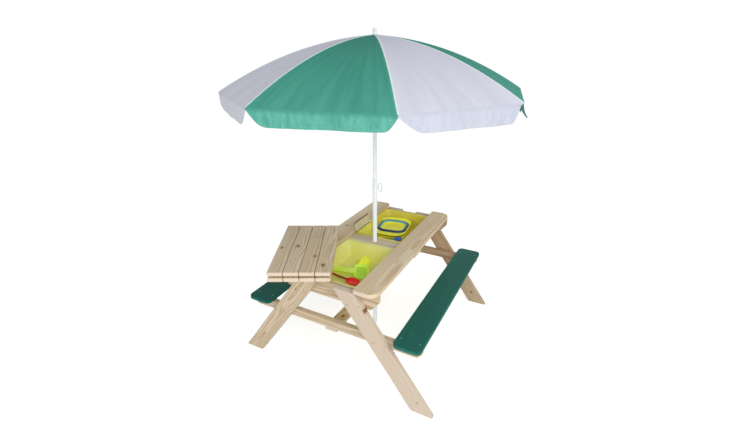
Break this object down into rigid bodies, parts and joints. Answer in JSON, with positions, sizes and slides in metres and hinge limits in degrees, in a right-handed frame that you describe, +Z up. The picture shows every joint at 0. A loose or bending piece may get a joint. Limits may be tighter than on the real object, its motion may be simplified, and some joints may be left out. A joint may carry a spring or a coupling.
{
  "type": "picnic table",
  "caption": "Child's picnic table with side benches, lift-out sand bins, lift-off plank lids and a folding parasol on a telescopic pole.",
  "frame": {"origin": "on the floor under the parasol pole, which stands in the middle of the table", "axes": "+X along the table to its far end, +Y across to the side where the lids are stacked, +Z up"},
  "size_m": [1.2376, 1.2376, 1.423],
  "materials": {
    "pine": "planed softwood, clear",
    "bench_paint": "softwood painted satin green",
    "bin_plastic": "moulded plastic, satin",
    "pole_paint": "white powder coat",
    "white_plastic": "moulded plastic, satin",
    "rib_steel": "white coated steel",
    "green_cloth": "woven polyester",
    "white_cloth": "woven polyester"
  },
  "bodies": {
    "table": {"rail_right": "pine", "rail_left": "pine", "middle_board": "pine", "end_board_far": "pine", "end_board_near": "pine", "leg_far_left": "pine", "leg_far_right": "pine", "leg_near_left": "pine", "leg_near_right": "pine", "seat_beam_far": "pine", "seat_beam_near": "pine", "stretcher": "pine", "bench_right": "bench_paint", "bench_left": "bench_paint"},
    "far_bin": {"sand_bin_far": "bin_plastic"},
    "near_bin": {"sand_bin_near": "bin_plastic"},
    "lower_lid": {"lid_lower_plank_1": "pine", "lid_lower_plank_2": "pine", "lid_lower_plank_3": "pine", "lid_lower_plank_4": "pine", "lid_lower_batten_1": "pine", "lid_lower_batten_2": "pine"},
    "upper_lid": {"lid_upper_plank_1": "pine", "lid_upper_plank_2": "pine", "lid_upper_plank_3": "pine", "lid_upper_plank_4": "pine", "lid_upper_batten_1": "pine", "lid_upper_batten_2": "pine"},
    "pole_foot": {"lower_pole": "pole_paint"},
    "clamp": {"thumb_screw": "white_plastic"},
    "pole_head": {"upper_pole": "pole_paint", "crown": "white_plastic", "finial": "white_plastic"},
    "runner": {"runner": "white_plastic"},
    "rib_1": {"rib_1": "rib_steel"},
    "stretcher_arm_1": {"stretcher_arm_1": "rib_steel"},
    "canopy_panel_1": {"canopy_panel_1": "white_cloth"},
    "rib_2": {"rib_2": "rib_steel"},
    "stretcher_arm_2": {"stretcher_arm_2": "rib_steel"},
    "canopy_panel_2": {"canopy_panel_2": "green_cloth"},
    "rib_3": {"rib_3": "rib_steel"},
    "stretcher_arm_3": {"stretcher_arm_3": "rib_steel"},
    "canopy_panel_3": {"canopy_panel_3": "white_cloth"},
    "rib_4": {"rib_4": "rib_steel"},
    "stretcher_arm_4": {"stretcher_arm_4": "rib_steel"},
    "canopy_panel_4": {"canopy_panel_4": "green_cloth"},
    "rib_5": {"rib_5": "rib_steel"},
    "stretcher_arm_5": {"stretcher_arm_5": "rib_steel"},
    "canopy_panel_5": {"canopy_panel_5": "white_cloth"},
    "rib_6": {"rib_6": "rib_steel"},
    "stretcher_arm_6": {"stretcher_arm_6": "rib_steel"},
    "canopy_panel_6": {"canopy_panel_6": "green_cloth"},
    "rib_7": {"rib_7": "rib_steel"},
    "stretcher_arm_7": {"stretcher_arm_7": "rib_steel"},
    "canopy_panel_7": {"canopy_panel_7": "white_cloth"},
    "rib_8": {"rib_8": "rib_steel"},
    "stretcher_arm_8": {"stretcher_arm_8": "rib_steel"},
    "canopy_panel_8": {"canopy_panel_8": "green_cloth"}
  },
  "joints": [
    {"name": "far_bin_lift", "type": "slide", "parent": "table", "child": "far_bin", "axis": [0, 0, 1], "range_m": [0, 0.15]},
    {"name": "near_bin_lift", "type": "slide", "parent": "table", "child": "near_bin", "axis": [0, 0, 1], "range_m": [0, 0.15]},
    {"name": "lower_lid_lift", "type": "slide", "parent": "near_bin", "child": "lower_lid", "axis": [0, 0, 1], "range_m": [0, 0.15]},
    {"name": "upper_lid_lift", "type": "slide", "parent": "lower_lid", "child": "upper_lid", "axis": [0, 0, 1], "range_m": [0, 0.15]},
    {"name": "parasol_lift", "type": "slide", "parent": "table", "child": "pole_foot", "axis": [0, 0, 1], "range_m": [0, 0.52]},
    {"name": "thumb_screw_turn", "type": "hinge", "parent": "pole_foot", "child": "clamp", "pos_m": [0.00281, -0.01473, 0.76], "axis": [0.1874, -0.9823, 0], "continuous": true},
    {"name": "height_adjust", "type": "slide", "parent": "pole_foot", "child": "pole_head", "axis": [0, 0, 1], "range_m": [-0.1, 0.1]},
    {"name": "canopy_fold", "type": "hinge", "parent": "pole_head", "child": "rib_1", "pos_m": [-0.01308, -0.00859, 1.39116], "axis": [0.549, -0.8358, 0], "range_deg": [0, 69]},
    {"name": "rib_2_fold", "type": "hinge", "parent": "pole_head", "child": "rib_2", "pos_m": [-0.00317, -0.01533, 1.39116], "axis": [0.9792, -0.2028, 0], "range_deg": [0, 69]},
    {"name": "rib_3_fold", "type": "hinge", "parent": "pole_head", "child": "rib_3", "pos_m": [0.00859, -0.01308, 1.39116], "axis": [0.8358, 0.549, 0], "range_deg": [0, 69]},
    {"name": "rib_4_fold", "type": "hinge", "parent": "pole_head", "child": "rib_4", "pos_m": [0.01533, -0.00317, 1.39116], "axis": [0.2028, 0.9792, 0], "range_deg": [0, 69]},
    {"name": "rib_5_fold", "type": "hinge", "parent": "pole_head", "child": "rib_5", "pos_m": [0.01308, 0.00859, 1.39116], "axis": [-0.549, 0.8358, 0], "range_deg": [0, 69]},
    {"name": "rib_6_fold", "type": "hinge", "parent": "pole_head", "child": "rib_6", "pos_m": [0.00317, 0.01533, 1.39116], "axis": [-0.9792, 0.2028, 0], "range_deg": [0, 69]},
    {"name": "rib_7_fold", "type": "hinge", "parent": "pole_head", "child": "rib_7", "pos_m": [-0.00859, 0.01308, 1.39116], "axis": [-0.8358, -0.549, 0], "range_deg": [0, 69]},
    {"name": "rib_8_fold", "type": "hinge", "parent": "pole_head", "child": "rib_8", "pos_m": [-0.01533, 0.00317, 1.39116], "axis": [-0.2028, -0.9792, 0], "range_deg": [0, 69]},
    {"name": "runner_slide", "type": "slide", "parent": "pole_head", "child": "runner", "axis": [0, 0, 1], "range_m": [-0.373, 0]},
    {"name": "stretcher_arm_1_fold", "type": "hinge", "parent": "rib_1", "child": "stretcher_arm_1", "pos_m": [-0.20634, -0.13554, 1.34396], "axis": [0.549, -0.8358, 0], "range_deg": [-138.5, 0]},
    {"name": "stretcher_arm_2_fold", "type": "hinge", "parent": "rib_2", "child": "stretcher_arm_2", "pos_m": [-0.05006, -0.24175, 1.34396], "axis": [0.9792, -0.2028, 0], "range_deg": [-138.5, 0]},
    {"name": "stretcher_arm_3_fold", "type": "hinge", "parent": "rib_3", "child": "stretcher_arm_3", "pos_m": [0.13554, -0.20634, 1.34396], "axis": [0.8358, 0.549, 0], "range_deg": [-138.5, 0]},
    {"name": "stretcher_arm_4_fold", "type": "hinge", "parent": "rib_4", "child": "stretcher_arm_4", "pos_m": [0.24175, -0.05006, 1.34396], "axis": [0.2028, 0.9792, 0], "range_deg": [-138.5, 0]},
    {"name": "stretcher_arm_5_fold", "type": "hinge", "parent": "rib_5", "child": "stretcher_arm_5", "pos_m": [0.20634, 0.13554, 1.34396], "axis": [-0.549, 0.8358, 0], "range_deg": [-138.5, 0]},
    {"name": "stretcher_arm_6_fold", "type": "hinge", "parent": "rib_6", "child": "stretcher_arm_6", "pos_m": [0.05006, 0.24175, 1.34396], "axis": [-0.9792, 0.2028, 0], "range_deg": [-138.5, 0]},
    {"name": "stretcher_arm_7_fold", "type": "hinge", "parent": "rib_7", "child": "stretcher_arm_7", "pos_m": [-0.13554, 0.20634, 1.34396], "axis": [-0.8358, -0.549, 0], "range_deg": [-138.5, 0]},
    {"name": "stretcher_arm_8_fold", "type": "hinge", "parent": "rib_8", "child": "stretcher_arm_8", "pos_m": [-0.24175, 0.05006, 1.34396], "axis": [-0.2028, -0.9792, 0], "range_deg": [-138.5, 0]},
    {"name": "canopy_panel_1_fold", "type": "hinge", "parent": "pole_head", "child": "canopy_panel_1", "pos_m": [-0.0088, -0.01294, 1.39116], "axis": [0.8271, -0.5621, 0], "range_deg": [0, 69.5], "deforming": ["canopy_panel_1"]},
    {"name": "canopy_panel_2_fold", "type": "hinge", "parent": "pole_head", "child": "canopy_panel_2", "pos_m": [0.00293, -0.01537, 1.39116], "axis": [0.9823, 0.1874, 0], "range_deg": [0, 69.5], "deforming": ["canopy_panel_2"]},
    {"name": "canopy_panel_3_fold", "type": "hinge", "parent": "pole_head", "child": "canopy_panel_3", "pos_m": [0.01294, -0.0088, 1.39116], "axis": [0.5621, 0.8271, 0], "range_deg": [0, 69.5], "deforming": ["canopy_panel_3"]},
    {"name": "canopy_panel_4_fold", "type": "hinge", "parent": "pole_head", "child": "canopy_panel_4", "pos_m": [0.01537, 0.00293, 1.39116], "axis": [-0.1874, 0.9823, 0], "range_deg": [0, 69.5], "deforming": ["canopy_panel_4"]},
    {"name": "canopy_panel_5_fold", "type": "hinge", "parent": "pole_head", "child": "canopy_panel_5", "pos_m": [0.0088, 0.01294, 1.39116], "axis": [-0.8271, 0.5621, 0], "range_deg": [0, 69.5], "deforming": ["canopy_panel_5"]},
    {"name": "canopy_panel_6_fold", "type": "hinge", "parent": "pole_head", "child": "canopy_panel_6", "pos_m": [-0.00293, 0.01537, 1.39116], "axis": [-0.9823, -0.1874, 0], "range_deg": [0, 69.5], "deforming": ["canopy_panel_6"]},
    {"name": "canopy_panel_7_fold", "type": "hinge", "parent": "pole_head", "child": "canopy_panel_7", "pos_m": [-0.01294, 0.0088, 1.39116], "axis": [-0.5621, -0.8271, 0], "range_deg": [0, 69.5], "deforming": ["canopy_panel_7"]},
    {"name": "canopy_panel_8_fold", "type": "hinge", "parent": "pole_head", "child": "canopy_panel_8", "pos_m": [-0.01537, -0.00293, 1.39116], "axis": [0.1874, -0.9823, 0], "range_deg": [0, 69.5], "deforming": ["canopy_panel_8"]}
  ],
  "couplings": [
    {"joint": "rib_2_fold", "follows": "canopy_fold", "ratio": 1},
    {"joint": "rib_3_fold", "follows": "canopy_fold", "ratio": 1},
    {"joint": "rib_4_fold", "follows": "canopy_fold", "ratio": 1},
    {"joint": "rib_5_fold", "follows": "canopy_fold", "ratio": 1},
    {"joint": "rib_6_fold", "follows": "canopy_fold", "ratio": 1},
    {"joint": "rib_7_fold", "follows": "canopy_fold", "ratio": 1},
    {"joint": "rib_8_fold", "follows": "canopy_fold", "ratio": 1},
    {"joint": "stretcher_arm_1_fold", "follows": "canopy_fold", "ratio": -2},
    {"joint": "stretcher_arm_2_fold", "follows": "canopy_fold", "ratio": -2},
    {"joint": "stretcher_arm_3_fold", "follows": "canopy_fold", "ratio": -2},
    {"joint": "stretcher_arm_4_fold", "follows": "canopy_fold", "ratio": -2},
    {"joint": "stretcher_arm_5_fold", "follows": "canopy_fold", "ratio": -2},
    {"joint": "stretcher_arm_6_fold", "follows": "canopy_fold", "ratio": -2},
    {"joint": "stretcher_arm_7_fold", "follows": "canopy_fold", "ratio": -2},
    {"joint": "stretcher_arm_8_fold", "follows": "canopy_fold", "ratio": -2},
    {"joint": "canopy_panel_1_fold", "follows": "canopy_fold", "ratio": 1},
    {"joint": "canopy_panel_2_fold", "follows": "canopy_fold", "ratio": 1},
    {"joint": "canopy_panel_3_fold", "follows": "canopy_fold", "ratio": 1},
    {"joint": "canopy_panel_4_fold", "follows": "canopy_fold", "ratio": 1},
    {"joint": "canopy_panel_5_fold", "follows": "canopy_fold", "ratio": 1},
    {"joint": "canopy_panel_6_fold", "follows": "canopy_fold", "ratio": 1},
    {"joint": "canopy_panel_7_fold", "follows": "canopy_fold", "ratio": 1},
    {"joint": "canopy_panel_8_fold", "follows": "canopy_fold", "ratio": 1},
    {"joint": "runner_slide", "follows": "canopy_fold", "m_per_rad": -0.30821}
  ]
}
